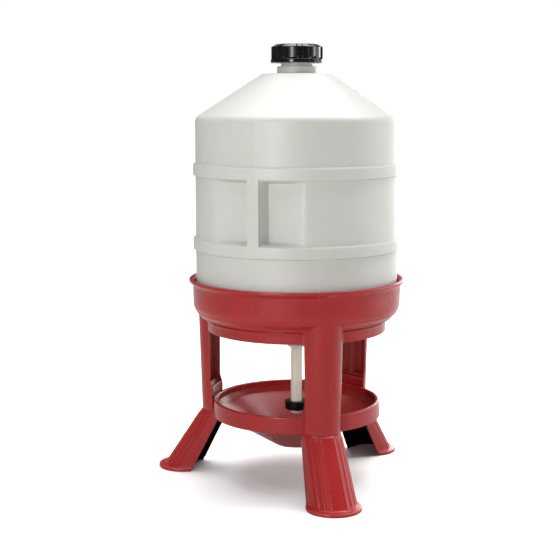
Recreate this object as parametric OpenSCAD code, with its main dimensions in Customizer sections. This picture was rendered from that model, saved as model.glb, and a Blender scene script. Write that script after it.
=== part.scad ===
// Top-fill siphon drinker for poultry: a tank that drips through a valve into a round tray,
// carried by a three-legged stand with push-on feet.
// Origin: on the tank's axis at floor level. +Z is up and the front leg points along -Y.

/* [Tank] */
// Outer radius of the tank's wall
tank_r = 168; // [160:1:172]
// Wall thickness of the tank
tank_wall = 2.4; // [1.8:0.2:3]
// Height of the sharp corner between the wall and the shoulder cone
shoulder_z = 606; // [596:1:640]
// Rise of the shoulder cone
cone_rise = 71; // [50:1:90]
// Radius of the cone's flat top
cone_top_r = 57; // [45:1:65]
// Depth of the grip recesses at the middle of the grip
grip_depth = 19; // [12:1:24]
// Width of the grip bar
grip_bar_w = 22; // [16:1:28]
// Direction of the first grip, seen from above
grip_angle = -130.5; // [-150:0.5:-110]
// How far the two hoops stand out of the wall
hoop_out = 4.2; // [2:0.2:6]

/* [Filler neck and cap] */
// Inner radius of the filler mouth
mouth_r = 24; // [18:1:26]
// Outer radius of the neck over its thread
neck_r = 29; // [28:0.5:31]
// Outer radius of the cap's skirt
cap_r = 43; // [39:0.5:48]
// Height of the cap
cap_h = 30.4; // [28:0.2:40]
// Number of grip lobes on the cap
cap_lobes = 8; // [6:1:10]

/* [Stand] */
// Height of the ring's rolled lip
ring_top_z = 340; // [330:1:360]
// Height of the ring's lower edge
ring_bottom_z = 253; // [246:1:258]
// Wall thickness of the stand
stand_wall = 3; // [2.4:0.2:3.4]
// Radius of a leg's half-round section at its lower end
leg_r = 31.6; // [29:0.2:33]
// Distance from the axis to the centre of a leg's section at its lower end
leg_reach = 134.1; // [133:0.1:135]
// Height of the seam between leg and foot
foot_z = 108; // [104:1:110]

/* [Feet] */
// Radius of a foot's section at the floor
foot_r = 38.3; // [35:0.1:42]
// Distance from the axis to the centre of a foot's section at the floor
foot_reach = 198.8; // [180:0.2:210]
// Radius of the flange that stands on the floor
flange_r = 44.4; // [42:0.2:48]
// Number of raised ribs on each side of a foot's centre panel
foot_ribs = 4; // [2:1:4]

/* [Tray] */
// Outer radius of the tray's skirt at its lower edge
tray_r = 141.9; // [138:0.1:142.1]
// Height of the tray's rim
tray_top_z = 133; // [130:0.5:138]
// Height of the tray's underside at the centre
sump_z = 54; // [40:1:70]

/* [Down tube and valve] */
// Outer radius of the down tube
tube_r = 9.5; // [8:0.1:10]
// Inner radius of the down tube
tube_bore_r = 7.4; // [6:0.1:7.8]
// Height of the tube's lower end, under its plug
outlet_z = 107; // [104:0.5:112]
// Outer radius of the valve collar
valve_r = 19.6; // [17:0.1:24]

/* [Hidden] */
$fn = 96;

leg_angle_front = -90;
leg_angle_left = 150;
leg_angle_right = 30;

tank_white = [0.86, 0.86, 0.83];
tube_ivory = [0.90, 0.88, 0.80];
stand_red = [0.66, 0.14, 0.13];
fitting_black = [0.05, 0.05, 0.05];
seal_black = [0.12, 0.12, 0.12];

// Points of an arc in the r-z plane, from angle a0 to angle a1 in n steps
function arc(cr, cz, r, a0, a1, n) =
    [for (i = [0:n]) let (a = a0 + (a1 - a0) * i / n) [cr + r * cos(a), cz + r * sin(a)]];

// Straight-line value between [z0, v0] and [z1, v1]
function mix(z, z0, v0, z1, v1) = v0 + (v1 - v0) * (z - z0) / (z1 - z0);

// ---- Tank ----
seat_z = 282;             // underside of the tank, where it stands on the ring
seat_r = 152;             // outer edge of that flat underside
tank_corner_r = tank_r - seat_r;
funnel_r = 144;           // where the funnel starts, inside the flat underside
boss_r = 15;              // outlet boss at the funnel's lowest point
boss_z = 224;
boss_top_z = 246;
hoop_low_z = 389;
hoop_high_z = 511;
hoop_h = 21;
shoulder_r = 14;
cone_top_z = shoulder_z + cone_rise;
cone_normal = atan2(tank_r - cone_top_r, cone_rise);
neck_band_r = 32.5;
neck_band_h = 11;
neck_relief_r = 26;
neck_relief_top_z = cone_top_z + 18;
mouth_z = cone_top_z + 39;

function hoop(z, h) = [
    [tank_r, z], [tank_r + hoop_out - 1, z + 1], [tank_r + hoop_out, z + 3],
    [tank_r + hoop_out, z + h - 3], [tank_r + hoop_out - 1, z + h - 1], [tank_r, z + h]
];

// Shoulder arc of a wall of radius r whose cone is tangent to it, shifted inwards by inset
function shoulder(inset) =
    arc(tank_r - shoulder_r, shoulder_z - shoulder_r * tan(cone_normal / 2),
        shoulder_r - inset, 0, cone_normal, 4);

module tank_outside() {
    rotate_extrude() polygon(concat(
        [[0, boss_z], [boss_r, boss_z], [boss_r, boss_top_z - 6], [funnel_r, seat_z - 1],
         [funnel_r + 2, seat_z]],
        arc(seat_r, seat_z + tank_corner_r, tank_corner_r, -90, 0, 6),
        hoop(hoop_low_z, hoop_h),
        hoop(hoop_high_z, hoop_h),
        shoulder(0),
        [[cone_top_r, cone_top_z], [neck_band_r, cone_top_z + 1],
         [neck_band_r, cone_top_z + 1 + neck_band_h],
         [neck_relief_r, cone_top_z + 1 + neck_band_h],
         [neck_relief_r, neck_relief_top_z],
         [neck_r, neck_relief_top_z + 3], [neck_r, mouth_z - 3],
         [neck_r - 1.5, mouth_z], [0, mouth_z]]
    ));
}

module tank_inside() {
    inner_z = seat_z + tank_wall;
    rotate_extrude() polygon(concat(
        [[0, boss_top_z], [boss_r + 3, boss_top_z], [funnel_r - 1, inner_z]],
        arc(seat_r, seat_z + tank_corner_r, tank_corner_r - tank_wall, -90, 0, 6),
        shoulder(tank_wall),
        [[cone_top_r - 1, cone_top_z - tank_wall], [mouth_r, cone_top_z - tank_wall],
         [mouth_r, mouth_z + 1], [0, mouth_z + 1]]
    ));
}

grip_low_z = hoop_low_z + hoop_h + 1;
grip_high_z = hoop_high_z - 1;
grip_draft = 25;          // slant of the bar's flanks, in degrees

// The two recesses of a grip: what lies outside a chord plane between the hoops, beside the
// bar and its slanting flanks. grow is 0 for the outside and the wall for the inside.
module grip_recesses(grow) {
    chord = tank_r - grip_depth - grow;
    out_r = tank_r + hoop_out + 1;
    edge = grip_bar_w / 2 - grow / cos(grip_draft);
    foot = edge + (tank_r - chord) * tan(grip_draft);
    translate([0, 0, grip_low_z - grow])
        linear_extrude(height = grip_high_z - grip_low_z + 2 * grow)
            for (side = [-1, 1])
                scale([1, side])
                    polygon([[chord, foot], [tank_r, edge], [out_r, edge],
                             [out_r, tank_r], [chord, tank_r]]);
}

// The bar of a grip stands out nearly as far as the hoops and joins them. It starts out wider,
// and the recesses trim it.
module grip_bar() {
    bar_out_r = tank_r + hoop_out - 0.4;
    spare = 1;
    translate([0, 0, grip_low_z - 2.2])
        intersection() {
            cylinder(r = bar_out_r, h = grip_high_z - grip_low_z + 4.4);
            translate([tank_r - tank_wall / 2, -grip_bar_w / 2 - spare, -1])
                cube([hoop_out * 2, grip_bar_w + 2 * spare, grip_high_z - grip_low_z + 6.4]);
        }
}

module both_grips() {
    for (side = [0, 180])
        rotate([0, 0, grip_angle + side])
            children();
}

module tank() {
    color(tank_white)
    difference() {
        union() {
            tank_outside();
            both_grips()
                grip_bar();
        }
        both_grips()
            grip_recesses(0);
        difference() {
            tank_inside();
            both_grips()
                grip_recesses(tank_wall);
        }
        translate([0, 0, boss_z - 1])
            cylinder(r = tube_r, h = boss_top_z - boss_z + 2);
    }
}

// ---- Filler cap and its gasket ----
cap_z = cone_top_z + 17.5;
cap_skirt_h = 5.5;
gasket_t = 1.5;
cap_clearance = 0.4;
cap_wall = 2.5;
cap_boss_r = neck_r + cap_clearance + cap_wall;
cap_lobe_r = 5.5;
cap_lobe_angle = 34.5;    // direction of the first lobe

module cap_lobed_outline() {
    circle(r = cap_r - 4);
    for (i = [0:cap_lobes - 1])
        rotate([0, 0, cap_lobe_angle + i * 360 / cap_lobes])
            translate([cap_r - cap_lobe_r - 0.6, 0])
                circle(r = cap_lobe_r);
}

module filler_cap() {
    gasket_top = mouth_z + gasket_t;
    top_z = cap_z + cap_h;
    color(fitting_black)
    difference() {
        union() {
            translate([0, 0, cap_z])
                cylinder(r = cap_r, h = cap_skirt_h);
            translate([0, 0, cap_z + 1])
                linear_extrude(height = cap_h - 4)
                    cap_lobed_outline();
            translate([0, 0, top_z - 4])
                rotate_extrude()
                    polygon([[0, 0], [cap_r - 2, 0], [cap_r - 3, 2], [cap_r - 6, 3.6],
                             [cap_r - 9, 4], [0, 4]]);
        }
        // Threaded socket over the neck
        translate([0, 0, cap_z - 1])
            cylinder(r = neck_r + cap_clearance, h = gasket_top - cap_z + 1);
        // Hollow between the socket and the outer skirt
        translate([0, 0, cap_z - 1])
            rotate_extrude()
                polygon([[cap_boss_r, 0], [cap_r - 4 - cap_wall, 0],
                         [cap_r - 4 - cap_wall, cap_h - 6], [cap_boss_r, cap_h - 6]]);
    }
}

module cap_gasket() {
    color(seal_black)
    translate([0, 0, mouth_z])
        difference() {
            cylinder(r = neck_r - 0.3, h = gasket_t);
            translate([0, 0, -1])
                cylinder(r = mouth_r + 0.5, h = gasket_t + 2);
        }
}

// ---- Stand ring ----
ring_gap = 2;                              // play between the tank's wall and the ring
band_in_r = tank_r + ring_gap;             // inside of the upper band
band_out_r = band_in_r + stand_wall;
collar_in_r = 147;                         // inside of the lower band
collar_out_r = collar_in_r + stand_wall - 0.3;
seat_pad_w = 3;                            // width of the flat the tank stands on
corner_cz = seat_z - 0.5 + band_in_r - seat_r;

// Outside of the ring, from its lower edge up to the lip
ring_outer_points = concat(
    [[collar_out_r, ring_bottom_z], [collar_out_r, ring_bottom_z + 14],
     [collar_out_r + 1.3, ring_bottom_z + 15.5], [collar_out_r + 1.3, ring_bottom_z + 17.5],
     [collar_out_r, ring_bottom_z + 19], [collar_out_r, seat_z - 6], [160.4, seat_z - 6],
     [161.2, seat_z - 4.5], [160.8, seat_z - 3]],
    arc(seat_r, corner_cz, band_out_r - seat_r, -60, 0, 5),
    [[band_out_r + 1, ring_top_z - 10], [tank_r + 10, ring_top_z - 6],
     [tank_r + 11.8, ring_top_z - 4], [tank_r + 12, ring_top_z - 2],
     [tank_r + 10.5, ring_top_z - 0.4]]
);

module stand_ring() {
    color(stand_red)
    rotate_extrude()
        polygon(concat(
            ring_outer_points,
            [[band_in_r + 3.5, ring_top_z], [band_in_r + 1.6, ring_top_z - 2]],
            arc(seat_r, corner_cz, band_in_r - seat_r, 0, -90, 5),
            [[collar_in_r + seat_pad_w, seat_z - 0.5], [collar_in_r + seat_pad_w, seat_z],
             [collar_in_r, seat_z], [collar_in_r, ring_bottom_z]]
        ));
}

// Everything inside the ring's outer surface, which the legs stop at
module ring_envelope() {
    rotate_extrude()
        polygon(concat(
            [[0, ring_bottom_z]],
            ring_outer_points,
            [[0, ring_top_z]]
        ));
}

// ---- Legs ----
leg_top_z = 296;
leg_lean = 3.9;                     // how much further out the section's centre is at the top
leg_flare = 1.9;                    // how much larger the section is at the top
leg_edge_r = 143.7;                 // inner edge of the flanks above the tray
leg_edge_low_r = 135.3;             // and beside the tray
flare_low_z = 145;
flare_high_z = 162;
tray_gap = 0.7;                     // play between the tray's skirt and the legs
shelf_z = 145;                      // shelf that closes the boxed lower part of a leg
shelf_t = 3;

// Leaning cone that a leg is cut from: inset is 0 for its outside, the wall for its inside
module leg_cone(inset) {
    leg_h = leg_top_z - foot_z;
    lean = atan2(leg_lean, leg_h);
    translate([leg_reach, 0, foot_z])
        rotate([0, lean, 0])
            translate([0, 0, -6])
                cylinder(r1 = leg_r - inset, r2 = leg_r + leg_flare - inset, h = leg_h + 16);
}

// Side view of a leg: where its flanks end towards the axis
module leg_side(z0) {
    rotate([90, 0, 0])
        translate([0, 0, -60])
            linear_extrude(height = 120)
                polygon([[leg_edge_low_r, z0], [200, z0], [200, leg_top_z + 4],
                         [leg_edge_r, leg_top_z + 4], [leg_edge_r, flare_high_z],
                         [leg_edge_low_r, flare_low_z]]);
}

module leg() {
    tray_way_r = tray_r + tray_gap;
    color(stand_red)
    difference() {
        union() {
            // Half-round wall
            intersection() {
                difference() {
                    leg_cone(0);
                    leg_cone(stand_wall);
                }
                leg_side(foot_z);
            }
            // Inner wall that boxes the lower end in behind the tray, and the shelf above it
            intersection() {
                leg_cone(1);
                leg_side(foot_z);
                difference() {
                    translate([0, 0, foot_z])
                        cylinder(r = 200, h = shelf_z + shelf_t - foot_z);
                    translate([0, 0, foot_z - 1])
                        difference() {
                            cylinder(r = 200, h = shelf_z - foot_z + 1);
                            cylinder(r = tray_way_r + stand_wall, h = shelf_z - foot_z + 1);
                        }
                }
            }
            // Second step of the shelf
            intersection() {
                leg_cone(1);
                leg_side(foot_z);
                difference() {
                    translate([0, 0, shelf_z])
                        cylinder(r = 200, h = shelf_t + 5);
                    translate([0, 0, shelf_z - 1])
                        cylinder(r = tray_way_r + 7, h = shelf_t + 7);
                }
            }
        }
        // The way the tray takes, straight up through the ring
        translate([0, 0, foot_z - 1])
            cylinder(r = tray_way_r, h = leg_top_z - foot_z);
        ring_envelope();
    }
}

module leg_front() { rotate([0, 0, leg_angle_front]) leg(); }
module leg_left() { rotate([0, 0, leg_angle_left]) leg(); }
module leg_right() { rotate([0, 0, leg_angle_right]) leg(); }

// ---- Feet ----
foot_edge_r = 177.8;                // inner edge of the flanks at the floor
foot_edge_top_r = 122.9;            // and at the seam
foot_wall = 3;
foot_plate = 4;
flange_edge_r = 179.8;              // inner edge of the flange
flange_reach = foot_reach + 2.2;    // distance from the axis to the flange's centre
flange_t = 5;
rib_step = 17;                      // degrees between neighbouring ribs
rib_half = 3.6;                     // half of a rib's width in degrees
rib_out = 1.1;
foot_side_steps = 50;
end_cut = 4;                        // how far the foot's body is made past its ends
tenon_h = 24;
tenon_gap = 0.3;

// Height of the ribs at angle a on the foot's outside: 0 between the ribs
function rib_height(a) =
    max([0, for (i = [1:foot_ribs]) let (d = abs(abs(a) - (i + 0.1) * rib_step))
        d < rib_half ? rib_out * cos(d / rib_half * 90) : 0]);

// Plan outline of a foot at height z
function foot_outline(z, inset, edge_shift, ribbed) =
    let (rc = mix(z, 0, foot_reach, foot_z, leg_reach),
         r = mix(z, 0, foot_r, foot_z, leg_r) - inset,
         edge = mix(z, 0, foot_edge_r, foot_z, foot_edge_top_r) - edge_shift)
    concat(
        [[edge, -r, z]],
        [for (i = [0:foot_side_steps])
            let (a = -90 + 180 * i / foot_side_steps, rr = r + (ribbed ? rib_height(a) : 0))
            [rc + rr * cos(a), rr * sin(a), z]],
        [[edge, r, z]]
    );

module foot_body(z0, z1, inset, edge_shift, ribbed) {
    n = foot_side_steps + 3;
    polyhedron(
        points = concat(foot_outline(z0, inset, edge_shift, ribbed),
                        foot_outline(z1, inset, edge_shift, ribbed)),
        faces = concat(
            [[for (i = [0:n - 1]) i]],
            [[for (i = [n - 1:-1:0]) n + i]],
            [for (i = [0:n - 1]) [(i + 1) % n, i, n + i]],
            [for (i = [0:n - 1]) [(i + 1) % n, n + i, n + (i + 1) % n]]
        ));
}

module foot_flange() {
    intersection() {
        translate([flange_reach, 0, 0])
            rotate_extrude()
                polygon([[0, 0], [flange_r, 0], [flange_r, flange_t - 1.5],
                         [flange_r - 1.5, flange_t], [0, flange_t]]);
        translate([flange_edge_r, -60, -1])
            cube([80, 120, flange_t + 2]);
    }
}

// Hollow plug that goes up inside the leg, behind the tray
module foot_tenon() {
    tenon_in_r = tray_r + tray_gap + stand_wall + tenon_gap;
    difference() {
        intersection() {
            translate([leg_reach, 0, foot_z - foot_plate / 2])
                cylinder(r = leg_r - stand_wall - tenon_gap, h = tenon_h + foot_plate / 2);
            translate([tenon_in_r, -40, foot_z - foot_plate / 2])
                cube([60, 80, tenon_h + foot_plate]);
        }
        translate([tenon_in_r + foot_wall, 0, foot_z])
            intersection() {
                translate([leg_reach - tenon_in_r - foot_wall, 0, 0])
                    cylinder(r = leg_r - stand_wall - tenon_gap - foot_wall, h = tenon_h + 1);
                translate([0, -40, 0])
                    cube([60, 80, tenon_h + 1]);
            }
    }
}

module foot() {
    skirt_way_r = tray_r + tray_gap;
    ledge_half_w = leg_r - foot_wall - 0.1;
    ledge_r = sqrt(pow(skirt_way_r, 2) - pow(ledge_half_w, 2));
    color(stand_red)
    union() {
        difference() {
            union() {
                // The ribbed wall is made too tall and cut level at the floor and at the seam
                intersection() {
                    foot_body(-end_cut, foot_z + end_cut, 0, 0, true);
                    translate([80, -60, 0])
                        cube([200, 120, foot_z]);
                }
                foot_flange();
            }
            intersection() {
                foot_body(-end_cut, foot_z + end_cut, foot_wall, 40, false);
                translate([60, -60, -1])
                    cube([200, 120, foot_z - foot_plate + 1]);
            }
            // Ledge under the tray's skirt, stepped to follow its round edge
            translate([0, -60, tray_bottom_z])
                cube([ledge_r, 120, 20]);
            translate([0, -ledge_half_w, tray_bottom_z])
                cube([skirt_way_r + 0.6, 2 * ledge_half_w, 20]);
            tray_room(1.2);
        }
        foot_tenon();
    }
}

module foot_front() { rotate([0, 0, leg_angle_front]) foot(); }
module foot_left() { rotate([0, 0, leg_angle_left]) foot(); }
module foot_right() { rotate([0, 0, leg_angle_right]) foot(); }

// ---- Tray ----
tray_bottom_z = foot_z - 2;
tray_wall = 3;
rim_w = 6.4;                        // width of the rounded rim
dish_r = 131;                       // where the dish leaves the skirt
dish_z = tray_bottom_z + 4.4;
sump_r = 37;                        // flat bottom of the dish

module tray() {
    rim_r = tray_r - 1.4;
    color(stand_red)
    rotate_extrude()
        polygon(concat(
            [[0, sump_z], [sump_r - 5, sump_z], [sump_r, sump_z + 1], [dish_r, dish_z],
             [tray_r - tray_wall, dish_z + 3], [tray_r - tray_wall, tray_bottom_z],
             [tray_r, tray_bottom_z], [rim_r, tray_top_z - 3]],
            arc(rim_r - rim_w / 2, tray_top_z - rim_w / 2, rim_w / 2, 0, 180, 6),
            [[rim_r - rim_w, dish_z + 12], [dish_r - 2, dish_z + 4],
             [sump_r - 1, sump_z + tray_wall + 1.4], [sump_r - 6, sump_z + tray_wall],
             [0, sump_z + tray_wall]]
        ));
}

// Space under the dish that the feet keep clear of
module tray_room(gap) {
    rotate_extrude()
        polygon([[0, sump_z - gap], [sump_r, sump_z - gap], [dish_r, dish_z - gap],
                 [dish_r, dish_z + 20], [0, dish_z + 20]]);
}

// ---- Down tube, plug and valve ----
plug_head_t = 1;
tube_end_z = outlet_z + plug_head_t;
window_z = outlet_z + 3.5;
window_h = 3;
window_w = 8;
tube_flange_z = boss_z - 7;
valve_z = outlet_z + 6.6;
valve_h = 14.3;
valve_gap = 0.35;                   // play between the collar and the tube
seal_fit = 0.05;                    // running fit of the seals
seal_w = 1.8;
seal_out_r = tube_r + 2;
seal_low_z = valve_z + 1.3;
seal_high_z = valve_z + valve_h - 3.6;

module down_tube() {
    color(tube_ivory)
    difference() {
        union() {
            translate([0, 0, tube_end_z])
                cylinder(r = tube_r, h = boss_top_z - tube_end_z);
            // Flared shoulder under the tank's outlet boss
            rotate_extrude()
                polygon(concat(
                    [[0, tube_flange_z]],
                    arc(boss_r - 0.5, tube_flange_z, boss_r - 0.5 - tube_r, 180, 90, 5),
                    [[boss_r - 0.5, boss_z], [0, boss_z]]
                ));
        }
        translate([0, 0, tube_end_z - 1])
            cylinder(r = tube_bore_r, h = boss_top_z - tube_end_z + 2);
        // Outlet windows above the plug
        for (a = [0, 90])
            rotate([0, 0, a])
                translate([-2 * tube_r, -window_w / 2, window_z])
                    cube([4 * tube_r, window_w, window_h]);
    }
}

module tube_plug() {
    color(tube_ivory)
    translate([0, 0, outlet_z])
        rotate_extrude()
            polygon([[0, 0], [tube_r - 0.5, 0], [tube_r, 0.5], [tube_r, plug_head_t],
                     [tube_bore_r, plug_head_t], [tube_bore_r, plug_head_t + 2.4],
                     [0, plug_head_t + 2.4]]);
}

module valve_collar() {
    bore_r = tube_r + valve_gap;
    color(fitting_black)
    difference() {
        translate([0, 0, valve_z])
            rotate_extrude()
                polygon([[bore_r, 0], [valve_r - 2, 0], [valve_r - 0.4, 1.8],
                         [valve_r, valve_h - 1], [valve_r - 0.8, valve_h], [bore_r, valve_h]]);
        // Grooves for the two seals
        for (z = [seal_low_z, seal_high_z])
            translate([0, 0, z - seal_fit])
                cylinder(r = seal_out_r + seal_fit, h = seal_w + 2 * seal_fit);
    }
}

module valve_seal(z) {
    color(seal_black)
    translate([0, 0, z])
        difference() {
            cylinder(r = seal_out_r, h = seal_w);
            translate([0, 0, -1])
                cylinder(r = tube_r + seal_fit, h = seal_w + 2);
        }
}

module valve_seal_upper() { valve_seal(seal_high_z); }
module valve_seal_lower() { valve_seal(seal_low_z); }

tank();
filler_cap();
cap_gasket();
stand_ring();
leg_front();
leg_left();
leg_right();
foot_front();
foot_left();
foot_right();
tray();
down_tube();
tube_plug();
valve_collar();
valve_seal_upper();
valve_seal_lower();
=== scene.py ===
"""Looks of the top-fill siphon drinker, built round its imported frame. Lengths are millimetres
until a mesh is made; the frame and Blender work in metres."""

import math

import bmesh
import bpy
import numpy as np
from mathutils import Matrix, Vector


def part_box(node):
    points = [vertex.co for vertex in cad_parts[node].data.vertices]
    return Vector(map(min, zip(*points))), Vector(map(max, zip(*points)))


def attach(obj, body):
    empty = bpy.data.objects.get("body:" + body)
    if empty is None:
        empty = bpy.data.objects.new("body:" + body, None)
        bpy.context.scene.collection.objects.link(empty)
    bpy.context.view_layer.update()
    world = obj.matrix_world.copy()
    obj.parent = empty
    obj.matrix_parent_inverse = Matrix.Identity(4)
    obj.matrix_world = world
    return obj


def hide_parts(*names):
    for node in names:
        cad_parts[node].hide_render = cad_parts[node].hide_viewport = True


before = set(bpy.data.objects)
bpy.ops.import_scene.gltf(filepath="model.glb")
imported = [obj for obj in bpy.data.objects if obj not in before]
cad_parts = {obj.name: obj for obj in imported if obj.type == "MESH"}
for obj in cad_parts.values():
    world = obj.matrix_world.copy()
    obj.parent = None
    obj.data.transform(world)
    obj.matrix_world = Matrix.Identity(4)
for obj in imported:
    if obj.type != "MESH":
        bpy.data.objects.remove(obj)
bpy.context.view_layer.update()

MM = 0.001


def box_mm(node):
    """Lowest and highest corner of a node of the frame, in millimetres."""
    low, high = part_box(node)
    return low / MM, high / MM


# ---- Sizes: read from the frame's boxes, and the small steps between them ----
tank_low, tank_high = box_mm("tank")
ring_low, ring_high = box_mm("stand_ring")
cap_low, cap_high = box_mm("filler_cap")
leg_low, _ = box_mm("leg_front")
tray_low, tray_high = box_mm("tray")
_, gasket_high = box_mm("cap_gasket")

HOOP_OUT = 4.2
HOOP_H = 21
TANK_R = tank_high.x - HOOP_OUT
TANK_WALL = 2.4
MOUTH_Z = tank_high.z
OUTLET_Z = tank_low.z
SEAT_Z = OUTLET_Z + 58
CONE_TOP_Z = MOUTH_Z - 39
CONE_TOP_R = 57
SHOULDER_Z = CONE_TOP_Z - 71
SHOULDER_R = 14
HOOP_LOW_Z = SEAT_Z + 107
HOOP_HIGH_Z = SEAT_Z + 229
CORNER_R = 16
OUTLET_BORE_R = 9.5

GRIP_ANGLE = -130.5
GRIP_DEPTH = 19
GRIP_BAR_HALF = 10.6
GRIP_FLANK = 9.3
GRIP_EDGE = 4.0
GRIP_REACH = 60    # degrees from its middle that a grip can cut the wall
PARTING_HALF = 0.9
PARTING_OUT = 0.3

NECK_R = 29
NECK_BAND_R = 32.5
NECK_RELIEF_R = 26
MOUTH_R = 24
THREAD_PITCH = 5
THREAD_DEPTH = 1.5
THREAD_LOW_Z = CONE_TOP_Z + 21
THREAD_HIGH_Z = MOUTH_Z - 3

CAP_R = cap_high.x
CAP_LOBES = 8
CAP_LOBE_ANGLE = 34.5
CAP_SKIRT_H = 5.5
CAP_FLUTE_DEPTH = 3.4

RING_TOP_Z = ring_high.z
RING_BOTTOM_Z = ring_low.z
LIP_R = ring_high.x
BAND_OUT_R = 173
BAND_IN_R = 170
COLLAR_OUT_R = 149.7
COLLAR_IN_R = 147
RING_SEAT_R = 152
RING_CORNER_Z = SEAT_Z - 0.5 + BAND_IN_R - RING_SEAT_R

LEG_ANGLES = {"front": -90, "left": 150, "right": 30}
LEG_WALL = 3
LEG_LOW_Z = leg_low.z
LEG_TOP_Z = 299.2
LEG_REACH = 134.1
LEG_R = 31.6
LEG_LEAN = 3.9
LEG_FLARE = 1.9
LEG_LEAN_H = 188
LEG_EDGE_X = 143.7
LEG_EDGE_LOW_X = 139.4
TRAY_WAY_R = 142.6
SHELF_Z = 148
SHELF_STEP_Z = 153
SHELF_STEP_R = 149.6

FOOT_REACH = 198.8
FOOT_R = 38.3
FOOT_EDGE_X = 177.8
FOOT_EDGE_TOP_X = 122.9
FOOT_WALL = 3
FOOT_PLATE_Z = 104
FLANGE_X = 201
FLANGE_R = 44.4
FLANGE_T = 5
FLANGE_END = 118.5
RIB_STEP = 17
RIB_HALF = 4.4
RIB_OUT = 1.3
RIBS = 4

TRAY_R = tray_high.x
TRAY_BOTTOM_Z = LEG_LOW_Z - 2
TRAY_TOP_Z = tray_high.z
SUMP_Z = tray_low.z
DISH_R = 131
DISH_Z = TRAY_BOTTOM_Z + 4.4
SUMP_R = 37


# ---- Outlines and meshes ----
def smoothstep(x):
    x = np.clip(x, 0, 1)
    return x * x * (3 - 2 * x)


def soft_positive(x, soft):
    """x where it is positive and 0 where it is negative, with a rounded change between."""
    return np.where(np.abs(x) < soft, (x + soft) ** 2 / (4 * soft), np.maximum(x, 0))


def soft_ramp(x, soft):
    """x held to 0..1, with both changes rounded."""
    return soft_positive(x, soft) - soft_positive(x - 1, soft)


def rounded(corners, closed=False, step=15):
    """Outline through corners (r, z, fillet), each rounded with a point every `step` degrees."""
    points = []
    count = len(corners)
    for i, (r, z, fillet) in enumerate(corners):
        here = np.array([r, z], float)
        if fillet == 0 or (not closed and i in (0, count - 1)):
            points.append(here)
            continue
        before = np.array(corners[i - 1][:2], float) - here
        after = np.array(corners[(i + 1) % count][:2], float) - here
        len_before, len_after = np.linalg.norm(before), np.linalg.norm(after)
        before, after = before / len_before, after / len_after
        turn = math.pi - math.acos(np.clip(before @ after, -1, 1))
        cut = min(fillet * math.tan(turn / 2), 0.48 * len_before, 0.48 * len_after)
        steps = max(2, math.ceil(math.degrees(turn) / step))
        for k in range(steps + 1):
            t = k / steps
            points.append(here + before * cut * (1 - t) ** 2 + after * cut * t ** 2)
    return np.array(points)


def densified(points, longest):
    """The outline with points added so that no segment is longer than `longest`."""
    filled = [points[0]]
    for a, b in zip(points[:-1], points[1:]):
        parts = max(1, math.ceil(np.linalg.norm(b - a) / longest))
        filled += [a + (b - a) * k / parts for k in range(1, parts + 1)]
    return np.array(filled)


def lathe(outline, angles, shape=None):
    """Rings of points round the axis, one for each point of the outline. shape(r, z, a)
    changes r."""
    a = np.radians(np.asarray(angles, float))[None, :]
    r = outline[:, :1] + 0 * a
    z = outline[:, 1:] + 0 * a
    if shape:
        r = shape(r, z, a + 0 * r)
    return np.stack([r * np.cos(a), r * np.sin(a), z], -1)


def piece(name, rings, body, material, replaces, wrap=False, strip_caps=False, turn=0,
          painted_shade=None):
    """Closed mesh through rings of points, riding on a body in place of a node of the frame.
    wrap joins the last ring to the first, and strip_caps closes a channel's two ends. The last
    argument is a second material of painted shade, near-black in place of the shadow inside a
    hollow, and the range of points round a ring whose faces it covers."""
    rings = np.asarray(rings, float) * MM
    count, around = rings.shape[:2]
    faces = []
    for i in range(count if wrap else count - 1):
        low, high = i * around, ((i + 1) % count) * around
        for j in range(around):
            k = (j + 1) % around
            faces.append((low + j, low + k, high + k, high + j))
    if strip_caps:
        for base in (0, (count - 1) * around):
            for j in range(around // 2 - 1):
                far = around - 1 - j
                faces.append((base + j, base + j + 1, base + far - 1, base + far))
    mesh = bpy.data.meshes.new(name)
    mesh.from_pydata(rings.reshape(-1, 3).tolist(), [], faces)
    mesh.materials.append(material)
    # Faces in the given range get the second material: near-black painted shade in place of the
    # shadow inside a hollow.
    if painted_shade:
        mesh.materials.append(painted_shade[0])
        for i, face in enumerate(mesh.polygons):
            face.material_index = int(i < count * around and i % around in painted_shade[1])
    work = bmesh.new()
    work.from_mesh(mesh)
    bmesh.ops.remove_doubles(work, verts=work.verts, dist=1e-7)
    bmesh.ops.dissolve_degenerate(work, edges=work.edges, dist=1e-8)
    bmesh.ops.recalc_face_normals(work, faces=work.faces)
    for face in work.faces:
        face.smooth = True
    work.to_mesh(mesh)
    work.free()
    mesh.transform(Matrix.Rotation(math.radians(turn), 4, "Z"))
    mesh.set_sharp_from_angle(angle=math.radians(38))
    obj = bpy.data.objects.new(name, mesh)
    bpy.context.scene.collection.objects.link(obj)
    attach(obj, body)
    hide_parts(replaces)
    return obj


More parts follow.
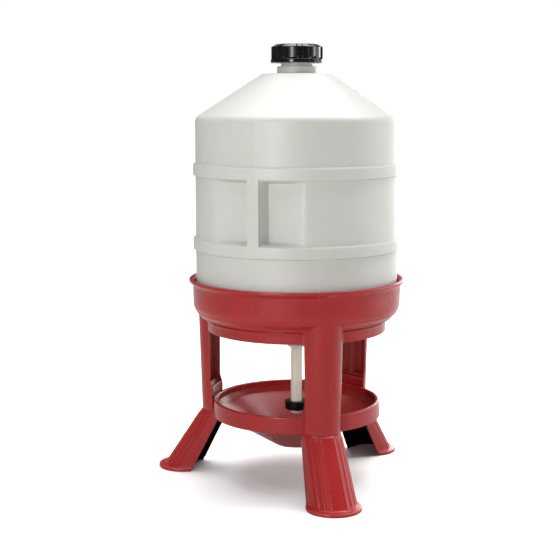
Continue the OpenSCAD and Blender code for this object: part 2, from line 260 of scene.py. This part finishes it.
# ---- Materials ----
class Shading:
    """A material's node tree, with short calls that add and join nodes."""

    def __init__(self, name):
        self.material = bpy.data.materials.new(name)
        self.material.use_nodes = True
        self.tree = self.material.node_tree
        self.tree.nodes.clear()
        self.shader = self.tree.nodes.new("ShaderNodeBsdfPrincipled")
        output = self.tree.nodes.new("ShaderNodeOutputMaterial")
        self.tree.links.new(self.shader.outputs[0], output.inputs["Surface"])
        self.place = self.tree.nodes.new("ShaderNodeTexCoord").outputs["Object"]

    def node(self, kind, inputs=(), **settings):
        made = self.tree.nodes.new(kind)
        for key, value in settings.items():
            setattr(made, key, value)
        for key, value in dict(inputs).items():
            if isinstance(value, bpy.types.NodeSocket):
                self.tree.links.new(value, made.inputs[key])
            else:
                made.inputs[key].default_value = value
        return made

    def stretched(self, scale):
        """The object's own coordinates, stretched by a scale for each axis."""
        return self.node("ShaderNodeMapping", {"Vector": self.place, "Scale": scale}).outputs[0]

    def noise(self, scale, detail=4.0, rough=0.55, place=None):
        inputs = {"Vector": place or self.place, "Scale": scale, "Detail": detail,
                  "Roughness": rough}
        return self.node("ShaderNodeTexNoise", inputs).outputs[0]

    def ramp(self, value, low, high, out_low=0.0, out_high=1.0):
        """Maps a value's range low..high to out_low..out_high."""
        inputs = {"Value": value, "From Min": low, "From Max": high,
                  "To Min": out_low, "To Max": out_high}
        return self.node("ShaderNodeMapRange", inputs).outputs[0]

    def blend(self, factor, a, b):
        """Colour a where the factor is 0 and b where it is 1."""
        made = self.node("ShaderNodeMix", data_type="RGBA")
        for index, value in ((0, factor), (6, a), (7, b)):
            if isinstance(value, bpy.types.NodeSocket):
                self.tree.links.new(value, made.inputs[index])
            else:
                made.inputs[index].default_value = value
        return made.outputs[2]

    def math(self, operation, a, b=0.0):
        return self.node("ShaderNodeMath", {0: a, 1: b}, operation=operation).outputs[0]

    def bump(self, height, strength, distance, under=None):
        inputs = {"Height": height, "Strength": strength, "Distance": distance}
        if under:
            inputs["Normal"] = under
        return self.node("ShaderNodeBump", inputs).outputs[0]

    def surface(self, **inputs):
        """Sets the shader's sockets; an underscore in a name stands for a space."""
        for key, value in inputs.items():
            socket = self.shader.inputs[key.replace("_", " ")]
            if isinstance(value, bpy.types.NodeSocket):
                self.tree.links.new(value, socket)
            else:
                socket.default_value = value
        return self.material


def rgba(r, g, b):
    return (r, g, b, 1.0)


def blown_plastic():
    """Milky blow-moulded polyethylene: cloudy, faintly mottled, with fine grain and scuffs."""
    s = Shading("blown_plastic")
    clouds = s.ramp(s.noise(7, 3), 0.35, 0.65)
    mottle = s.ramp(s.noise(60, 5), 0.3, 0.7)
    colour = s.blend(clouds, rgba(0.445, 0.452, 0.420), rgba(0.485, 0.492, 0.463))
    colour = s.blend(s.math("MULTIPLY", mottle, 0.35), colour, rgba(0.51, 0.51, 0.495))
    scratches = s.noise(55, 6, 0.7, s.stretched((1.0, 1.0, 0.12)))
    scuffs = s.ramp(scratches, 0.62, 0.72)
    colour = s.blend(s.math("MULTIPLY", scuffs, 0.25), colour, rgba(0.42, 0.42, 0.39))
    rough = s.math("ADD", s.ramp(clouds, 0, 1, 0.42, 0.50), s.math("MULTIPLY", scuffs, 0.12))
    waves = s.bump(s.noise(14, 2), 0.5, 0.0012)
    grain = s.bump(s.noise(700, 2), 0.22, 0.0001, waves)
    return s.surface(Base_Color=colour, Roughness=rough, Normal=grain, IOR=1.5,
                     Subsurface_Weight=0.12, Subsurface_Radius=(0.010, 0.009, 0.007),
                     Subsurface_Scale=1.0)


def red_plastic():
    """Moulded red plastic with flow marks, fine grain, light scratches and worn edges."""
    s = Shading("red_plastic")
    flow = s.ramp(s.noise(9, 4, 0.6, s.stretched((1.0, 1.0, 0.35))), 0.32, 0.68)
    colour = s.blend(flow, rgba(0.27, 0.013, 0.014), rgba(0.32, 0.017, 0.018))
    speck = s.ramp(s.noise(420, 3), 0.6, 0.75)
    colour = s.blend(s.math("MULTIPLY", speck, 0.25), colour, rgba(0.40, 0.045, 0.042))
    edges = s.node("ShaderNodeNewGeometry").outputs["Pointiness"]
    patchy = s.ramp(s.noise(90, 5), 0.35, 0.7, 0.15, 0.6)
    worn = s.math("MULTIPLY", s.ramp(edges, 0.505, 0.56), patchy)
    colour = s.blend(worn, colour, rgba(0.46, 0.09, 0.08))
    scratches = s.ramp(s.noise(80, 8, 0.75, s.stretched((1.0, 1.0, 0.08))), 0.66, 0.74)
    colour = s.blend(s.math("MULTIPLY", scratches, 0.12), colour, rgba(0.42, 0.08, 0.07))
    rough = s.math("ADD", s.ramp(flow, 0, 1, 0.24, 0.31), s.math("MULTIPLY", scratches, 0.08))
    sinks = s.bump(s.noise(18, 2), 0.4, 0.0008)
    grain = s.bump(s.noise(900, 2), 0.12, 0.0001, sinks)
    return s.surface(Base_Color=colour, Roughness=rough, Normal=grain, IOR=1.36,
                     Subsurface_Weight=0.03, Subsurface_Radius=(0.004, 0.001, 0.001),
                     Subsurface_Scale=1.0)


def foot_painted_shade():
    """Painted shade: near-black colour for the inside faces of the feet, standing in for the deep
    shadow in their hollows, with a faint mottle and a trace of red.
    """
    s = Shading("foot_painted_shade")
    dust = s.ramp(s.noise(60, 6, 0.65), 0.4, 0.75)
    colour = s.blend(dust, rgba(0.004, 0.002, 0.002), rgba(0.014, 0.006, 0.006))
    grain = s.bump(s.noise(600, 3), 0.2, 0.0001)
    return s.surface(Base_Color=colour, Roughness=s.ramp(dust, 0, 1, 0.55, 0.7), Normal=grain,
                     IOR=1.2)


def black_plastic(name, grain_size, shine):
    """Black moulded plastic with a fine grain and a dusty, slightly uneven gloss."""
    s = Shading(name)
    dust = s.ramp(s.noise(45, 6, 0.65), 0.45, 0.75)
    colour = s.blend(s.math("MULTIPLY", dust, 0.5), rgba(0.0025, 0.003, 0.003),
                     rgba(0.007, 0.007, 0.007))
    rough = s.ramp(dust, 0, 1, shine, shine + 0.14)
    grain = s.bump(s.noise(grain_size, 3), 0.2, 0.0001)
    return s.surface(Base_Color=colour, Roughness=rough, Normal=grain, IOR=1.35)


def ivory_plastic():
    """Yellowed ivory tube, with drawing streaks along it."""
    s = Shading("ivory_plastic")
    streaks = s.ramp(s.noise(160, 4, 0.6, s.stretched((1.0, 1.0, 0.04))), 0.35, 0.65)
    colour = s.blend(streaks, rgba(0.70, 0.68, 0.56), rgba(0.80, 0.79, 0.70))
    stains = s.ramp(s.noise(30, 5), 0.55, 0.75)
    colour = s.blend(s.math("MULTIPLY", stains, 0.4), colour, rgba(0.60, 0.56, 0.42))
    rough = s.ramp(streaks, 0, 1, 0.26, 0.36)
    grain = s.bump(streaks, 0.2, 0.0001)
    return s.surface(Base_Color=colour, Roughness=rough, Normal=grain, IOR=1.5,
                     Subsurface_Weight=0.15, Subsurface_Radius=(0.006, 0.005, 0.003),
                     Subsurface_Scale=1.0)


def rubber():
    """Matt black rubber of the seals."""
    s = Shading("rubber")
    bloom = s.ramp(s.noise(130, 6, 0.7), 0.4, 0.7)
    colour = s.blend(bloom, rgba(0.018, 0.018, 0.018), rgba(0.035, 0.034, 0.033))
    grain = s.bump(s.noise(1500, 2), 0.3, 0.0001)
    return s.surface(Base_Color=colour, Roughness=s.ramp(bloom, 0, 1, 0.6, 0.75), Normal=grain)


def pale_floor():
    """Plain pale studio floor, which throws less light back than it shows."""
    s = Shading("pale_floor")
    tone = s.ramp(s.noise(2, 3), 0.3, 0.7)
    seen = s.node("ShaderNodeLightPath").outputs["Is Camera Ray"]
    shown = s.blend(tone, rgba(0.86, 0.86, 0.86), rgba(0.88, 0.88, 0.88))
    return s.surface(Base_Color=s.blend(seen, rgba(0.48, 0.46, 0.44), shown), Roughness=0.9)


BLOWN = blown_plastic()
RED = red_plastic()
CAP_BLACK = black_plastic("cap_black", 800, 0.16)
VALVE_BLACK = black_plastic("valve_black", 1100, 0.35)
IVORY = ivory_plastic()
RUBBER = rubber()
# Painted shade: near-black colour for the shadowed inside faces of the feet.
PAINTED_FOOT_SHADE = foot_painted_shade()


# ---- Tank ----
def from_grip(a, side):
    """Angle from the middle of the near grip (side 0) or the far one (side 180)."""
    return (a - math.radians(GRIP_ANGLE + side) + math.pi) % (2 * math.pi) - math.pi


def grip_recess(r, z, a, wall):
    """Depth of the grip recesses at angle a: beside each bar the wall is cut flat along a chord.
    wall is 0 for the outside, and the wall's thickness for the inside."""
    z0 = HOOP_LOW_Z + HOOP_H - wall
    z1 = HOOP_HIGH_Z + wall
    upright = soft_ramp((z - z0) / GRIP_EDGE, 0.2) * soft_ramp((z1 - z) / GRIP_EDGE, 0.2)
    depth = 0 * r
    for side in (0, 180):
        off = from_grip(a, side)
        near = np.abs(off) < math.radians(GRIP_REACH)
        chord = (TANK_R - GRIP_DEPTH - wall) / np.cos(np.where(near, off, 0))
        cut = soft_positive(np.where(near, r - chord, 0), 0.8)
        beside = soft_ramp((np.abs(r * np.sin(off)) - GRIP_BAR_HALF + wall) / GRIP_FLANK, 0.16)
        depth = np.where(near, cut * beside * upright, depth)
    return depth


def grip_bar(r, a):
    """Radius at angle a: out to the hoops on the grips' bars, and r elsewhere."""
    for side in (0, 180):
        off = from_grip(a, side)
        across = np.where(np.cos(off) > 0, TANK_R * np.abs(np.sin(off)), TANK_R)
        bar = TANK_R + HOOP_OUT * soft_ramp((GRIP_BAR_HALF + 0.4 - across) / 1.5, 0.35)
        r = np.maximum(r, np.where(across < GRIP_BAR_HALF + 1, bar, 0))
    return r


def parting_ridge(a):
    """Height of the fine ridge where the two halves of the mould met."""
    ridge = 0 * a
    for side in (0, 180):
        across = np.abs(from_grip(a, side)) * TANK_R / PARTING_HALF
        ridge = ridge + PARTING_OUT * smoothstep(1 - across)
    return ridge


def thread_height(z, a, turn_share=0.0):
    """Height, 0 to 1, of a single-start thread at height z and angle a."""
    phase = ((z - THREAD_LOW_Z) / THREAD_PITCH - a / (2 * math.pi) + turn_share) % 1
    return smoothstep((0.5 - np.abs(phase - 0.5)) * 3.2 - 0.3)


def tank_outside(r, z, a):
    on_wall = (np.abs(r - TANK_R) < 0.01) & (z > HOOP_LOW_Z + HOOP_H) & (z < HOOP_HIGH_Z)
    r = r - np.where(on_wall, grip_recess(r, z, a, 0), 0)
    beside_hoops = (r > TANK_R - 1) & (z > HOOP_LOW_Z + HOOP_H - 4) & (z < HOOP_HIGH_Z + 4)
    r = np.where(beside_hoops, grip_bar(r, a), r)
    on_shell = (z > SEAT_Z + CORNER_R) & (r > CONE_TOP_R)
    r = r + np.where(on_shell, parting_ridge(a), 0)
    on_thread = (z > THREAD_LOW_Z) & (z < THREAD_HIGH_Z) & (r > NECK_R - 0.1)
    fade = smoothstep((z - THREAD_LOW_Z) / 2) * smoothstep((THREAD_HIGH_Z - z) / 2)
    root = THREAD_DEPTH * (1 - thread_height(z, a) * fade)
    return r - np.where(on_thread, root, 0)


def tank_inside(r, z, a):
    on_wall = (r > TANK_R - TANK_WALL - 0.01) & (z > HOOP_LOW_Z) & (z < HOOP_HIGH_Z + HOOP_H)
    return r - np.where(on_wall, grip_recess(r, z, a, TANK_WALL), 0)


def tank():
    wall_rows = list(np.arange(HOOP_LOW_Z + HOOP_H + 1, HOOP_LOW_Z + HOOP_H + 9, 0.8))
    wall_rows += list(np.arange(HOOP_LOW_Z + HOOP_H + 12, HOOP_HIGH_Z - 9, 4))
    wall_rows += list(np.arange(HOOP_HIGH_Z - 8.2, HOOP_HIGH_Z - 0.5, 0.8))
    thread_rows = np.arange(THREAD_LOW_Z, THREAD_HIGH_Z, 0.5)
    hoop_r = TANK_R + HOOP_OUT

    def hoop(z):
        return [(TANK_R, z, 1), (hoop_r, z + 1.4, 2.4), (hoop_r, z + HOOP_H - 1.4, 2.4),
                (TANK_R, z + HOOP_H, 1)]

    corners = [
        (OUTLET_BORE_R, OUTLET_Z, 0), (15, OUTLET_Z, 1), (15, OUTLET_Z + 16, 3),
        (144, SEAT_Z - 1, 3), (147, SEAT_Z, 2), (TANK_R, SEAT_Z, CORNER_R),
        *hoop(HOOP_LOW_Z), *[(TANK_R, z, 0) for z in wall_rows], *hoop(HOOP_HIGH_Z),
        (TANK_R, SHOULDER_Z, SHOULDER_R), (CONE_TOP_R, CONE_TOP_Z, 4),
        (NECK_BAND_R, CONE_TOP_Z + 1, 1.2), (NECK_BAND_R, CONE_TOP_Z + 12, 1),
        (NECK_RELIEF_R, CONE_TOP_Z + 12, 0.8), (NECK_RELIEF_R, CONE_TOP_Z + 18, 0.8),
        (NECK_R, THREAD_LOW_Z - 0.5, 0.5), *[(NECK_R, z, 0) for z in thread_rows],
        (NECK_R, MOUTH_Z, 1.6), (MOUTH_R, MOUTH_Z, 0.8),
    ]
    outside = densified(rounded(corners, step=12), 9)
    inner_r = TANK_R - TANK_WALL
    slope = (TANK_R - CONE_TOP_R) / (CONE_TOP_Z - SHOULDER_Z)
    corners = [
        (MOUTH_R, CONE_TOP_Z - TANK_WALL, 2), (CONE_TOP_R - 1, CONE_TOP_Z - TANK_WALL, 4),
        (inner_r, SHOULDER_Z - TANK_WALL * (1 + slope) / 2.4, SHOULDER_R),
        *[(inner_r, z, 0) for z in np.arange(HOOP_HIGH_Z + 10, HOOP_LOW_Z + 10, -2.5)],
        (inner_r, SEAT_Z + TANK_WALL, CORNER_R - TANK_WALL), (143, SEAT_Z + TANK_WALL, 2),
        (18, OUTLET_Z + 22, 2), (OUTLET_BORE_R, OUTLET_Z + 22, 0),
    ]
    inside = densified(rounded(corners), 14)
    fine = np.concatenate([np.arange(2.9, 4.1, 0.12), np.arange(4.2, 8.4, 0.35),
                           [0.08, 0.16, 0.24, 0.34, 0.6]])
    grips = [GRIP_ANGLE, GRIP_ANGLE + 180]
    angles = [g + s * f for g in grips for f in fine for s in (1, -1)] + grips
    angles += [a for a in np.arange(0, 360, 1.5)
               if all(abs((a - g + 180) % 360 - 180) > 0.9 for g in grips)]
    angles = np.unique(np.round(np.array(angles) % 360, 4))
    rings = np.concatenate([lathe(outside, angles, tank_outside),
                            lathe(inside, angles, tank_inside)])
    piece("tank_shell", rings, "tank", BLOWN, "tank", wrap=True)


# ---- Filler cap ----
def filler_cap():
    z0, top = cap_low.z, cap_high.z
    socket_r = NECK_R + 0.4
    socket_top = gasket_high.z
    lobe_from = z0 + CAP_SKIRT_H + 1

    def cap_shape(r, z, a):
        lobe = (a - math.radians(CAP_LOBE_ANGLE)) * CAP_LOBES / (2 * math.pi) % 1
        flute = smoothstep((0.385 - np.abs(lobe - 0.5)) / 0.08)
        low = smoothstep((z - lobe_from) / 1.5)
        outer = r > CAP_R - 14
        r = r - np.where(outer & (z > lobe_from - 0.1), CAP_FLUTE_DEPTH * flute * low, 0)
        socket = (np.abs(r - socket_r) < 0.01) & (z > z0 + 2) & (z < socket_top - 2)
        fade = smoothstep((z - z0 - 2) / 2) * smoothstep((socket_top - 2 - z) / 2)
        return r - np.where(socket, 1.2 * thread_height(z, a, 0.5) * fade, 0)

    corners = [
        (0, socket_top, 0), (socket_r, socket_top, 0.5),
        *[(socket_r, z, 0) for z in np.arange(socket_top - 1, z0 + 1, -0.6)],
        (socket_r, z0, 0.5), (socket_r + 2.5, z0, 0.8), (socket_r + 2.5, top - 6, 1),
        (CAP_R - 6.5, top - 6, 1), (CAP_R - 6.5, z0, 0.5), (CAP_R, z0, 0.9),
        (CAP_R, z0 + CAP_SKIRT_H, 0.8), (CAP_R - 0.8, z0 + CAP_SKIRT_H + 0.6, 0.4),
        (CAP_R - 0.8, z0 + 8.6, 0), (CAP_R - 0.8, top - 4.6, 1.6), (CAP_R - 9, top, 3),
        (0, top, 0),
    ]
    outline = densified(rounded(corners, step=12), 3)
    rings = lathe(outline, np.arange(0, 360, 1.0), cap_shape)
    piece("screw_cap", rings, "cap", CAP_BLACK, "filler_cap")


# ---- Stand ring ----
def stand_ring():
    corners = [
        (COLLAR_IN_R, RING_BOTTOM_Z, 0.8), (COLLAR_OUT_R, RING_BOTTOM_Z, 0.8),
        (COLLAR_OUT_R, RING_BOTTOM_Z + 14, 0.8), (COLLAR_OUT_R + 1.3, RING_BOTTOM_Z + 15.4, 0.7),
        (COLLAR_OUT_R + 1.3, RING_BOTTOM_Z + 17.6, 0.7), (COLLAR_OUT_R, RING_BOTTOM_Z + 19, 0.8),
        (COLLAR_OUT_R, SEAT_Z - 6, 1.5), (160.6, SEAT_Z - 6, 1), (161.2, SEAT_Z - 3.6, 0.8),
        (BAND_OUT_R - 6.5, RING_CORNER_Z - 16, 0), (BAND_OUT_R, RING_CORNER_Z - 6, 14),
        (BAND_OUT_R + 1, RING_TOP_Z - 10, 3), (TANK_R + 10, RING_TOP_Z - 6.2, 2),
        (LIP_R, RING_TOP_Z - 4.2, 1.6), (LIP_R, RING_TOP_Z, 2.2),
        (BAND_IN_R + 3, RING_TOP_Z, 1.6), (BAND_IN_R + 0.6, RING_TOP_Z - 4, 1.5),
        (BAND_IN_R, SEAT_Z - 0.5, BAND_IN_R - RING_SEAT_R),
        (COLLAR_IN_R + 3, SEAT_Z - 0.5, 0.3), (COLLAR_IN_R + 3, SEAT_Z, 0.4),
        (COLLAR_IN_R, SEAT_Z, 0.8),
    ]
    outline = rounded(corners, closed=True, step=12)
    outline = densified(np.concatenate([outline, outline[:1]]), 12)[:-1]
    rings = lathe(outline, np.arange(0, 360, 1.25))
    piece("ring_moulding", rings, "stand", RED, "stand_ring", wrap=True)


def ring_wall_middle(z):
    """Radius of the middle of the ring's wall at height z, which hides the tops of the legs."""
    bowl = RING_SEAT_R + np.sqrt(np.maximum(19.5 ** 2 - (RING_CORNER_Z - z) ** 2, 0))
    return np.where(z < SEAT_Z - 3, COLLAR_IN_R + 1.35, np.where(z < RING_CORNER_Z, bowl, 171.5))


# ---- Legs ----
def thick_arc(centre, radius, wall, edge, count, tip_count=5):
    """A round wall's section: outer points, the rounded tip, and inner points. The arc bulges
    outwards along x and its two tips end at x = edge."""
    half = wall / 2
    end = math.acos(np.clip((edge + half - centre) / (radius - half), -1, 1))
    a = np.linspace(-end, end, count)
    outer = np.stack([centre + radius * np.cos(a), radius * np.sin(a)], -1)
    inner = np.stack([centre + (radius - wall) * np.cos(a), (radius - wall) * np.sin(a)], -1)
    tips = []
    for which in (-1, 0):
        middle = (outer[which] + inner[which]) / 2
        side = (outer[which] - inner[which]) / 2
        along = np.array([side[1], -side[0]]) * (-1 if which == -1 else 1)
        t = np.linspace(0, math.pi, tip_count + 2)[1:-1, None]
        tips.append(middle + np.cos(t) * side + np.sin(t) * along)
    return outer, tips[0], inner[::-1], tips[1][::-1]


def leg(name, angle):
    def section(z, limit_r, shrink=0.0):
        """One ring of the leg: limit_r is the radius behind which the channel is filled."""
        share = (z - LEG_LOW_Z) / LEG_LEAN_H
        centre = LEG_REACH + LEG_LEAN * share + 1.4 * smoothstep((z - 262) / 36)
        edge = LEG_EDGE_LOW_X + (LEG_EDGE_X - LEG_EDGE_LOW_X) * smoothstep((z - 143) / 20)
        radius = LEG_R + LEG_FLARE * share - shrink
        outer, tip_a, inner, tip_b = thick_arc(centre, radius, LEG_WALL - shrink, edge, 61)
        reach = np.sqrt(limit_r ** 2 - inner[:, 1] ** 2)
        inner[:, 0] = np.minimum(inner[:, 0], reach)
        gusset = 3.5
        near = np.clip(gusset - (np.hypot(*outer.T) - COLLAR_OUT_R), 0, gusset + 1.5)
        fade = smoothstep((z - RING_BOTTOM_Z + 2) / 5)
        outer[:, 1] += np.sign(outer[:, 1]) * near ** 2 / (2 * gusset) * fade
        points = np.concatenate([outer, tip_a, inner, tip_b])
        if z > RING_BOTTOM_Z:
            rho = np.hypot(*points.T)
            least = ring_wall_middle(z) + np.concatenate([
                np.full(len(outer) + len(tip_a), 0.3), np.full(len(inner) + len(tip_b), -0.3)])
            points = points * (np.maximum(rho, least) / rho)[:, None]
        return np.concatenate([points, np.full((len(points), 1), z)], 1)

    rows = [(LEG_LOW_Z, TRAY_WAY_R, 0.7), (LEG_LOW_Z + 0.3, TRAY_WAY_R, 0.25),
            (LEG_LOW_Z + 0.9, TRAY_WAY_R, 0)]
    rows += [(z, TRAY_WAY_R, 0) for z in np.linspace(LEG_LOW_Z + 6, SHELF_Z - 0.8, 8)]
    rows += [(SHELF_Z - 0.1, TRAY_WAY_R + 0.3, 0), (SHELF_Z, TRAY_WAY_R + 1, 0),
             (SHELF_Z, SHELF_STEP_R - 0.6, 0), (SHELF_Z + 0.6, SHELF_STEP_R, 0),
             (SHELF_STEP_Z - 0.7, SHELF_STEP_R, 0), (SHELF_STEP_Z, SHELF_STEP_R + 0.7, 0),
             (SHELF_STEP_Z, 400, 0)]
    rows += [(z, 400, 0) for z in np.arange(SHELF_STEP_Z + 2, 170, 3)]
    rows += [(z, 400, 0) for z in np.arange(176, 246, 10)]
    rows += [(z, 400, 0) for z in np.arange(249, LEG_TOP_Z, 1.5)]
    rings = [section(*row) for row in rows]
    piece(f"leg_{name}_channel", rings, "stand", RED, f"leg_{name}",
          strip_caps=True, turn=angle)


# ---- Feet ----
def rib_height(a):
    """Height of the raised ribs at angle a, in degrees, on a foot's outside."""
    height = 0 * a
    for k in range(1, RIBS + 1):
        off = np.abs(np.abs(a) - (k + 0.1) * RIB_STEP) / RIB_HALF
        height = np.maximum(height, RIB_OUT * np.cos(np.minimum(off, 1) * math.pi / 2) ** 0.8)
    return height


def foot(name, angle):
    arc_a = np.linspace(-90, 90, 181)
    flank = np.linspace(1, 0, 7)[:-1]

    def side(z, ribs, inset, edge_in):
        """Points along the outside (or, inset, the inside) of the foot at height z."""
        share = z / LEG_LOW_Z
        centre = FOOT_REACH + (LEG_REACH - FOOT_REACH) * share
        radius = FOOT_R + (LEG_R - FOOT_R) * share - inset
        edge = FOOT_EDGE_X + (FOOT_EDGE_TOP_X - FOOT_EDGE_X) * share + edge_in
        fade = smoothstep((z - FLANGE_T) / 6) * smoothstep((103.5 - z) / 3)
        rho = radius + rib_height(arc_a) * ribs * fade
        arc = np.stack([centre + rho * np.cos(np.radians(arc_a)),
                        rho * np.sin(np.radians(arc_a))], -1)
        low = np.stack([centre + (edge - centre) * flank, np.full(6, -radius)], -1)
        high = np.stack([low[::-1, 0], np.full(6, radius)], -1)
        return np.concatenate([low, arc, high])

    def flange_outline(inset):
        ends = np.radians(90 + (FLANGE_END - 90) * flank)
        a = np.concatenate([-ends, np.radians(arc_a), ends[::-1]])
        r = FLANGE_R - inset
        return np.stack([FLANGE_X + r * np.cos(a), r * np.sin(a)], -1)

    def ring(z, outward=0.0, flange_inset=None, plate=False, groove=0.0):
        """One ring of the foot. outward pushes the wall towards the flange's outline."""
        outer = side(z, 1, groove, FOOT_WALL / 2)
        if flange_inset is not None:
            outer = flange_outline(flange_inset)
        elif outward > 0:
            gap = flange_outline(0) - outer
            length = np.linalg.norm(gap, axis=1)[:, None]
            outer = outer + gap * np.minimum(outward / np.maximum(length, 1e-6), 1)
        inner = side(z, 0, FOOT_WALL, FOOT_WALL / 2)[::-1]
        if plate:
            edge = outer[0, 0] - 0.2
            inner = np.stack([np.full(len(inner), edge), inner[:, 1]], -1)
        tips = []
        for a, b in ((outer[-1], inner[0]), (inner[-1], outer[0])):
            t = np.linspace(0, math.pi, 7)[1:-1, None]
            bulge = np.array([-FOOT_WALL / 2 * (0.2 if plate else 1), 0])
            tips.append((a + b) / 2 + np.cos(t) * (a - b) / 2 + np.sin(t) * bulge)
        points = np.concatenate([outer, tips[0], inner, tips[1]])
        rho = np.hypot(*points.T)
        dish = SUMP_Z + (rho - SUMP_R) * (DISH_Z - SUMP_Z) / (DISH_R - SUMP_R) - 1
        top = np.where(rho > TRAY_WAY_R, LEG_LOW_Z, np.minimum(TRAY_BOTTOM_Z, dish))
        return np.concatenate([points, np.minimum(z, top)[:, None]], 1)

    rings = [ring(0, flange_inset=0.8), ring(0.25, flange_inset=0.25), ring(0.8, flange_inset=0),
             ring(3.2, flange_inset=0), ring(4.4, flange_inset=0.35), ring(4.9, flange_inset=1)]
    rings += [ring(5.0, outward=3.2), ring(5.2, outward=2), ring(5.9, outward=0.9),
              ring(7, outward=0.3), ring(8.6)]
    rings += [ring(z) for z in np.linspace(12, 99, 12)]
    rings += [ring(z) for z in (101.5, 102.5, FOOT_PLATE_Z)]
    rings += [ring(FOOT_PLATE_Z, plate=True), ring(105.4, plate=True),
              ring(106, plate=True, groove=0.4), ring(106.6, plate=True, groove=1.1),
              ring(LEG_LOW_Z, plate=True, groove=1.1)]
    # The foot's inside faces are covered with the near-black painted shade.
    edge = len(arc_a) + 2 * len(flank) + 3
    piece(f"foot_{name}_shell", rings, "stand", RED, f"foot_{name}",
          strip_caps=True, turn=angle, painted_shade=(PAINTED_FOOT_SHADE, range(edge, 2 * edge - 1)))


# ---- Tray ----
def tray():
    rim_r = TRAY_R - 1.4
    corners = [
        (0, SUMP_Z, 0), (SUMP_R - 1, SUMP_Z, 8), (DISH_R, DISH_Z, 3),
        (TRAY_R - 3, DISH_Z + 3, 1), (TRAY_R - 3, TRAY_BOTTOM_Z, 0.8), (TRAY_R, TRAY_BOTTOM_Z, 1),
        (rim_r, TRAY_TOP_Z - 6, 0.5), (rim_r, TRAY_TOP_Z, 2.8), (rim_r - 6.4, TRAY_TOP_Z, 2.6),
        (rim_r - 6.4, DISH_Z + 12, 3), (DISH_R - 2, DISH_Z + 4, 6),
        (SUMP_R - 2, SUMP_Z + 3, 9), (0, SUMP_Z + 3, 0),
    ]
    outline = densified(rounded(corners, step=12), 8)
    rings = lathe(outline, np.arange(0, 360, 1.5))
    piece("tray_moulding", rings, "tray", RED, "tray")


def frame_materials():
    """Looks of the nodes that stay as they are in the frame."""
    looks = {"cap_gasket": RUBBER, "valve_seal_upper": RUBBER, "valve_seal_lower": RUBBER,
             "down_tube": IVORY, "tube_plug": IVORY, "valve_collar": VALVE_BLACK}
    for node, material in looks.items():
        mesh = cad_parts[node].data
        mesh.materials.clear()
        mesh.materials.append(material)
        for face in mesh.polygons:
            face.use_smooth = True
        mesh.set_sharp_from_angle(angle=math.radians(30))


# ---- Studio ----
CAMERA_DISTANCE = 2.0733
CAMERA_HEIGHT = 0.635
CAMERA_AZIMUTH = 17.07
CAMERA_PITCH = 8.24
CAMERA_HEADING = -16.30
CAMERA_LENS = 80.06
LIGHT_AIM = Vector((0, 0, 0.35))    # what the lights are turned towards, in metres
FLOOR_REACH = 40    # metres


def camera():
    data = bpy.data.cameras.new("camera")
    data.lens = CAMERA_LENS
    data.sensor_width = 36
    obj = bpy.data.objects.new("camera", data)
    azimuth = math.radians(CAMERA_AZIMUTH)
    obj.location = (-CAMERA_DISTANCE * math.sin(azimuth), -CAMERA_DISTANCE * math.cos(azimuth),
                    CAMERA_HEIGHT)
    obj.rotation_euler = (math.radians(90 - CAMERA_PITCH), 0, math.radians(CAMERA_HEADING))
    bpy.context.scene.collection.objects.link(obj)
    bpy.context.scene.camera = obj


def direction(azimuth, elevation):
    """Unit vector towards a light, azimuth to the right of the camera's side of the object."""
    a = math.radians(azimuth - CAMERA_AZIMUTH)
    e = math.radians(elevation)
    return Vector((math.sin(a) * math.cos(e), -math.cos(a) * math.cos(e), math.sin(e)))


def light(name, kind, azimuth, elevation, distance, power, **settings):
    """Lamp at a distance in metres from LIGHT_AIM, turned towards it."""
    data = bpy.data.lights.new(name, kind)
    data.energy = power
    for key, value in settings.items():
        setattr(data, key, value)
    obj = bpy.data.objects.new(name, data)
    towards = direction(azimuth, elevation)
    obj.location = LIGHT_AIM + towards * distance
    obj.rotation_euler = towards.to_track_quat("Z", "Y").to_euler()
    bpy.context.scene.collection.objects.link(obj)


def studio():
    mesh = bpy.data.meshes.new("floor")
    corners = [(x * FLOOR_REACH, y * FLOOR_REACH, 0)
               for x, y in ((-1, -1), (1, -1), (1, 1), (-1, 1))]
    mesh.from_pydata(corners, [], [(0, 1, 2, 3)])
    mesh.materials.append(pale_floor())
    floor = bpy.data.objects.new("floor", mesh)
    bpy.context.scene.collection.objects.link(floor)
    light("top", "SUN", 165, 74, 4, 4.3, angle=math.radians(60))
    light("front", "AREA", -24, 11, 2.0, 22, shape="RECTANGLE", size=0.4, size_y=0.9)
    light("right", "AREA", 100, 11, 1.8, 15, shape="RECTANGLE", size=1.2, size_y=1.3)
    light("back", "AREA", 150, 8, 2.0, 20, shape="RECTANGLE", size=1.4, size_y=1.0)
    light("strip", "AREA", 58, 10, 2.0, 1.5, shape="RECTANGLE", size=0.08, size_y=1.2)
    light("box_left", "AREA", -52, 54, 1.9, 6, shape="RECTANGLE", size=0.4, size_y=0.4)
    light("box_right", "AREA", 95, 54, 1.9, 8, shape="RECTANGLE", size=0.4, size_y=0.4)
    world = bpy.data.worlds.new("studio")
    world.use_nodes = True
    tree = world.node_tree
    background = tree.nodes["Background"]
    background.inputs["Color"].default_value = rgba(1, 1, 1)
    seen = tree.nodes.new("ShaderNodeLightPath")
    strength = tree.nodes.new("ShaderNodeMapRange")
    strength.inputs["To Min"].default_value = 0.12
    strength.inputs["To Max"].default_value = 1.0
    tree.links.new(seen.outputs["Is Camera Ray"], strength.inputs["Value"])
    tree.links.new(strength.outputs[0], background.inputs["Strength"])
    scene = bpy.context.scene
    scene.world = world
    scene.view_settings.view_transform = "Standard"


camera()
tank()
filler_cap()
stand_ring()
for side_name, side_angle in LEG_ANGLES.items():
    leg(side_name, side_angle)
    foot(side_name, side_angle)
tray()
frame_materials()
studio()
